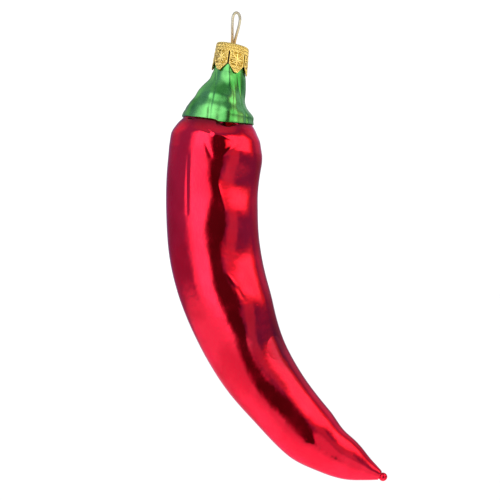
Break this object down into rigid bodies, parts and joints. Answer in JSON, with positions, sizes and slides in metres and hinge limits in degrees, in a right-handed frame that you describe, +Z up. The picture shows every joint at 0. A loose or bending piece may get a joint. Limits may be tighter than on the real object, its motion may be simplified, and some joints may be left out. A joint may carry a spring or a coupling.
{
  "type": "glass chilli pepper ornament",
  "caption": "Blown glass hanging ornament shaped as a curved red chilli pepper with a green calyx, a stamped gold crown cap and a spring wire hanging loop.",
  "frame": {"origin": "inside top of the wire's hanging loop, the point that the ornament hangs from", "axes": "+Z up, +X the side that the pod's tip curls towards, -Y the front"},
  "size_m": [0.0664, 0.0264, 0.141],
  "materials": {
    "lacquered_glass": "silvered inside, translucent red lacquer outside with a green calyx, mirror gloss",
    "gold_cap": "embossed thin sheet, bright gold",
    "spring_wire": "bright pale brassed wire"
  },
  "bodies": {
    "root": {"glass_chilli": "lacquered_glass", "cap": "gold_cap", "hanger_wire": "spring_wire"}
  },
  "joints": []
}
